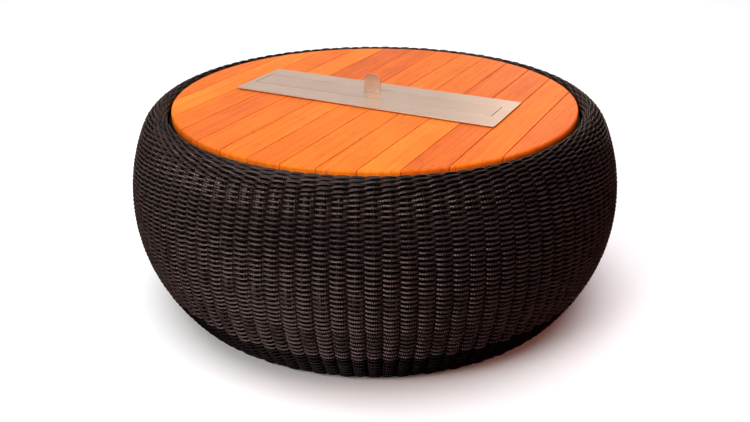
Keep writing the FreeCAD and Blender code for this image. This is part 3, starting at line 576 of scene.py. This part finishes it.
# Light and dark grain of the boards, and how softly one runs into the other
TEAK_TONES = {
    "pale": ("#fc8f28", "#ef7a1f", 0.14),
    "golden": ("#f98522", "#ea721a", 0.16),
    "orange": ("#f57e22", "#e26b1a", 0.18),
    "red": ("#ef7926", "#dc661e", 0.16),
    "brown": ("#e67129", "#ca5b1f", 0.2)}

# The boards from left to right, and behind the burner where they are parted by it
BOARDS = ("orange", "pale", "orange", "red", "orange", "golden", "orange", "golden", "golden", "pale",
          "red", "golden", "red")
BOARDS_BEHIND = {4: "pale", 5: "brown", 6: "red", 7: "orange", 8: "golden", 9: "orange", 10: "red"}

plank_nodes = sorted(node for node in frame["nodes"] if node.startswith("plank_"))
for order, node in enumerate(plank_nodes):
    number = int(node.split("_")[1])
    tone = BOARDS_BEHIND[number] if node.endswith("_back") else BOARDS[number - 1]
    dress(node, "tabletop", oiled_teak("teak_oiled_" + node, *TEAK_TONES[tone], order), TEAK_EASE)


# Battens and centring blocks
# Four teak battens hold the planks together from below, and four teak blocks keep the top in the
# middle of the drum. They are oiled as the planks are, in a browner shade.
batten_teak = oiled_teak("teak_oiled_battens", "#b97643", "#925528", 0.2, len(plank_nodes))
for node in ("batten_front_outer", "batten_front_inner", "batten_back_inner", "batten_back_outer",
             "centring_blocks"):
    dress(node, "tabletop", batten_teak, TEAK_EASE)


# Weaving stakes
# Aluminium rods bent to the drum's outline, welded to the rings and hoops and coated with them.
# The rope hides almost all of them, so their mesh is thinned.
STAKE_MESH_SHARE = 0.5

stakes = dress("weaving_stakes", "drum", black_coat, 0)
thinned = stakes.modifiers.new("thinned", "DECIMATE")
thinned.ratio = STAKE_MESH_SHARE


# Burner plate and lid
# Stainless steel sheet, laser cut and brushed along its length. The lid drops flush into the
# plate and has an upright tab, polished and tack-welded to it, to lift it by.
SHEET_EASE = 0.0003
# Sizes along the sheet, across it and through it: scratches, wider than the real grit leaves so
# that they show, and soft bands of a lighter and a darker brushing
HAIRLINE = (0.09, 0.00025, 0.002)
SOFT_BAND = (0.2, 0.004, 0.02)
SMUDGE_SIZE = 0.05


def stainless(name, code, smoothest, roughest, strength):
    """Stainless steel sheet, with fine lines along it from rolling or from a 180 grit brush: they
    stretch every highlight across the sheet, and scatter enough light to dull the metal a little."""
    material, tree = new_material(name)
    place = add(tree, "TexCoord", {}).outputs["Object"]
    hair_place, soft_place = (
        add(tree, "Mapping", {"Vector": place, "Scale": [1 / part for part in size]}).outputs[0]
        for size in (HAIRLINE, SOFT_BAND))
    hair = add(tree, "TexNoise", {"Vector": hair_place, "Scale": 1, "Detail": 3, "Roughness": 0.7})
    soft = add(tree, "TexNoise", {"Vector": soft_place, "Scale": 1, "Detail": 3})
    smudge = add(tree, "TexNoise", {"Vector": place, "Scale": 1 / SMUDGE_SIZE, "Detail": 3})
    tone = add(tree, "MapRange", {"Value": soft.outputs["Fac"], "From Min": 0.3, "From Max": 0.7,
                                  "To Min": 0.94, "To Max": 1.05})
    colour = add(tree, "Mix", {0: 1.0, 6: paint(code), 7: tone.outputs[0]},
                 data_type="RGBA", blend_type="MULTIPLY")
    rough = add(tree, "Math", {0: hair.outputs["Fac"], 1: smudge.outputs["Fac"]}, operation="ADD")
    gloss = add(tree, "MapRange", {"Value": rough.outputs[0], "From Min": 0.6, "From Max": 1.4,
                                   "To Min": smoothest, "To Max": roughest})
    bump = add(tree, "Bump", {"Height": hair.outputs["Fac"], "Strength": strength, "Distance": 0.0001})
    shader = add(tree, "BsdfPrincipled", {
        "Base Color": colour.outputs[2], "Metallic": 0.8, "Roughness": gloss.outputs[0],
        "Normal": bump.outputs[0]})
    add(tree, "OutputMaterial", {"Surface": shader.outputs[0]})
    return material


plate_steel = stainless("stainless_brushed_plate", "#d2c0b4", 0.27, 0.42, 0.35)
lid_steel = stainless("stainless_brushed_lid", "#cbb8ab", 0.25, 0.4, 0.35)
# The tab's steel is darker and warmer than the plate's, a painted reflection of the teak and plate in front
# of it; the welds share it
tab_steel_reflection_tinted = stainless("stainless_polished_tab", "#b69d8a", 0.26, 0.38, 0.1)
dress("burner_plate", "burner", plate_steel, SHEET_EASE)
dress("flame_lid", "lid", lid_steel, SHEET_EASE)
dress("tab_handle", "lid", tab_steel_reflection_tinted, SHEET_EASE)


# Tack welds on the tab
# Three small round beads of the same steel along the front of the tab's foot, one near each end
# and one in the middle. They hold the tab to the lid.
WELD_LENGTH = 0.0045
WELD_HEIGHT = 0.0016
WELD_SHARES = (0.06, 0.5, 0.94)

tab_low, tab_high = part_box("tab_handle")
lid_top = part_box("flame_lid")[1].z
welds = bmesh.new()
for share in WELD_SHARES:
    across = tab_low.x + (tab_high.x - tab_low.x) * share
    shape = Matrix.Translation((across, tab_low.y, lid_top)) @ Matrix.Diagonal(
        (WELD_LENGTH / 2, WELD_HEIGHT, WELD_HEIGHT, 1))
    bmesh.ops.create_icosphere(welds, subdivisions=3, radius=1, matrix=shape)
for face in welds.faces:
    face.smooth = True
weld_mesh = bpy.data.meshes.new("tab_welds")
welds.to_mesh(weld_mesh)
welds.free()
weld_mesh.materials.append(tab_steel_reflection_tinted)
tab_welds = bpy.data.objects.new("tab_welds", weld_mesh)
bpy.context.scene.collection.objects.link(tab_welds)
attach(tab_welds, "lid")


# Burner box
# The housing is of plain mill-finished sheet, welded under the plate, and hangs in the opening of the top.
# The lid rest, the fuel tank and the grate inside it are darkened by heat and soot, and the dark lid rest
# also serves as painted shade in the gap round the lid.
inner_steel = stainless("stainless_mill_finish", "#b9b6b2", 0.35, 0.5, 0.15)
sooty_steel_and_gap_shade = stainless("stainless_sooted_and_gap_shade", "#4b4440", 0.5, 0.7, 0.2)
for node in ("burner_housing", "tank_saddles"):
    dress(node, "burner", inner_steel, 0)
for node in ("lid_rest", "fuel_tank", "wool_grate"):
    dress(node, "burner", sooty_steel_and_gap_shade, 0)


# Ceramic wool
# A block of white ceramic fibre fills the tank and holds the liquid fuel like a sponge. Its soft
# faces are a little uneven.
FIBRE_SIZE = 0.0015
STAIN_SIZE = 0.03
WOOL_CUTS = (95, 11, 5)
WOOL_SINK = 0.0016
DENT_SIZE = 0.012
NEXT_TO_NOTHING = 1e-5


def ceramic_fibre():
    """Ceramic fibre wool, pressed to a block: chalk white, matt, with short matted fibres of about a
    millimetre and a faint stain of fuel."""
    material, tree = new_material("ceramic_fibre_wool_pressed")
    place = add(tree, "TexCoord", {}).outputs["Object"]
    mat = add(tree, "TexNoise", {"Vector": place, "Scale": 1 / FIBRE_SIZE, "Detail": 5, "Distortion": 1.5})
    stain = add(tree, "TexNoise", {"Vector": place, "Scale": 1 / STAIN_SIZE, "Detail": 3})
    colour = add(tree, "Mix", {0: stain.outputs["Fac"], 6: paint("#efece2"), 7: paint("#cfc8b8")},
                 data_type="RGBA")
    bump = add(tree, "Bump", {"Height": mat.outputs["Fac"], "Strength": 0.8, "Distance": 0.001})
    shader = add(tree, "BsdfPrincipled", {
        "Base Color": colour.outputs[2], "Roughness": 0.95, "Normal": bump.outputs[0]})
    add(tree, "OutputMaterial", {"Surface": shader.outputs[0]})
    return material


wool_low, wool_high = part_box("ceramic_wool")
wool_size = wool_high - wool_low
wool_middle = (wool_low + wool_high) / 2
wool = bmesh.new()
bmesh.ops.create_cube(wool, size=1,
                      matrix=Matrix.Translation(wool_middle) @ Matrix.Diagonal((*wool_size, 1)))
for axis, cuts in enumerate(WOOL_CUTS):
    along = [edge for edge in wool.edges
             if abs(edge.verts[0].co[axis] - edge.verts[1].co[axis]) > NEXT_TO_NOTHING]
    bmesh.ops.subdivide_edges(wool, edges=along, cuts=cuts, use_grid_fill=True)
for vert in wool.verts:
    dent = 0.5 + 0.5 * noise.noise(vert.co / DENT_SIZE)
    towards = wool_middle - vert.co
    for axis in range(3):
        if abs(abs(towards[axis]) - wool_size[axis] / 2) < NEXT_TO_NOTHING:
            vert.co[axis] += math.copysign(WOOL_SINK * dent, towards[axis])
for face in wool.faces:
    face.smooth = True
wool_mesh = bpy.data.meshes.new("ceramic_wool_block")
wool.to_mesh(wool_mesh)
wool.free()
wool_mesh.materials.append(ceramic_fibre())
wool_block = bpy.data.objects.new("ceramic_wool_block", wool_mesh)
bpy.context.scene.collection.objects.link(wool_block)
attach(wool_block, "burner")
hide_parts("ceramic_wool")


# Batten screws
# Countersunk stainless screws are driven up through the battens into the planks from below, so
# none of them shows on the top.
coat("batten_screws", inner_steel)


# Floor and light
# A plain white studio floor under soft boxes: a strong one in front, a warm one behind, a weak one
# on the left and a low warm fill on the right. Panels above and behind are there for the steel to
# reflect, and soft light from the ceiling fills the rest.
LAMP_AIM = Vector((0, 0, 0.3))
CEILING_SPREAD = math.radians(60)
FLOOR_REACH = 30

floor_work = bmesh.new()
bmesh.ops.create_grid(floor_work, x_segments=1, y_segments=1, size=FLOOR_REACH)
floor_mesh = bpy.data.meshes.new("studio_floor")
floor_work.to_mesh(floor_mesh)
floor_work.free()
floor = bpy.data.objects.new("studio_floor", floor_mesh)
bpy.context.scene.collection.objects.link(floor)
floor_material, floor_tree = new_material("studio_paint_rolled_matt")
floor_shader = add(floor_tree, "BsdfPrincipled", {
    "Base Color": paint("#f1f3f7"), "Roughness": 0.9, "Specular IOR Level": 0.1})
add(floor_tree, "OutputMaterial", {"Surface": floor_shader.outputs[0]})
floor_mesh.materials.append(floor_material)
floor.visible_glossy = False


def lamp(name, kind, place, power, code, reflected=True, **settings):
    """A light at a place, turned to the table, which may be kept out of reflections."""
    light = bpy.data.lights.new(name, kind)
    light.energy = power
    light.color = paint(code)[:3]
    for setting, value in settings.items():
        setattr(light, setting, value)
    holder = bpy.data.objects.new(name, light)
    holder.location = place
    holder.rotation_euler = (LAMP_AIM - Vector(place)).to_track_quat("-Z", "Y").to_euler()
    holder.visible_glossy = reflected
    bpy.context.scene.collection.objects.link(holder)
    return holder


def light_only(holder, pieces):
    """Keeps a lamp's light off all but these pieces, as flags do in a studio."""
    lit = bpy.data.collections.new("lit_by_" + holder.name)
    for piece in pieces:
        lit.objects.link(piece)
    holder.light_linking.receiver_collection = lit


lamp("ceiling_light", "SUN", (0, 0, 3), 1.5, "#ffffff", reflected=False, angle=CEILING_SPREAD)
lamp("front_box", "AREA", (-0.6, -2.6, 1.7), 57, "#fff9f3", shape="SQUARE", size=1.2)
warm_box = lamp("warm_box", "AREA", (0.7, 2.9, 2.0), 34, "#ffd0ac", shape="SQUARE", size=1.5)
lamp("left_box", "AREA", (-2.2, -0.5, 2.4), 20, "#fff6ee", shape="SQUARE", size=1.5)
lamp("top_panel", "AREA", (0, 0.1, 3.2), 11, "#ffffff", shape="RECTANGLE", size=2.4, size_y=2.0)
lamp("back_panel", "AREA", (-1.4, 2.7, 1.6), 14, "#fff0e6", shape="RECTANGLE", size=2.8, size_y=1.5)
lamp("end_panel", "AREA", (-0.2, 2.7, 1.6), 3.5, "#ffe9d8", shape="RECTANGLE", size=1.0, size_y=1.5)
lamp("right_fill", "AREA", (2.7, -0.1, 1.0), 26, "#ffa590", reflected=False, shape="SQUARE", size=1.5)
edge_light = lamp("edge_light", "AREA", (2.1, -1.7, 1.0), 22, "#ffd9b0", reflected=False,
                  shape="SQUARE", size=0.8)
floor_light = lamp("floor_light", "SUN", (0, 0, 3), 1.6, "#ffffff", reflected=False, angle=CEILING_SPREAD)

# The warm box and a small light on the teak's edge reach only what lies on top of the drum, and
# one lamp lights only the floor, which is as white far off as it is near
top_pieces = [piece for piece in bpy.context.scene.objects
              if piece.name.startswith(("plank_", "burner_plate", "flame_lid", "tab_"))]
light_only(warm_box, top_pieces)
light_only(edge_light, top_pieces)
light_only(floor_light, [floor])

world = bpy.data.worlds.new("studio_room")
world.use_nodes = True
world.node_tree.nodes["Background"].inputs["Color"].default_value = paint("#f4f2ef")
world.node_tree.nodes["Background"].inputs["Strength"].default_value = 1.0
bpy.context.scene.world = world
# The pale room behind the floor is seen but gives no light, which all comes from the lamps
world.cycles_visibility.diffuse = False
world.cycles_visibility.glossy = False

# The view keeps the colours as they are, without a film's softened highlights
bpy.context.scene.view_settings.view_transform = "Standard"
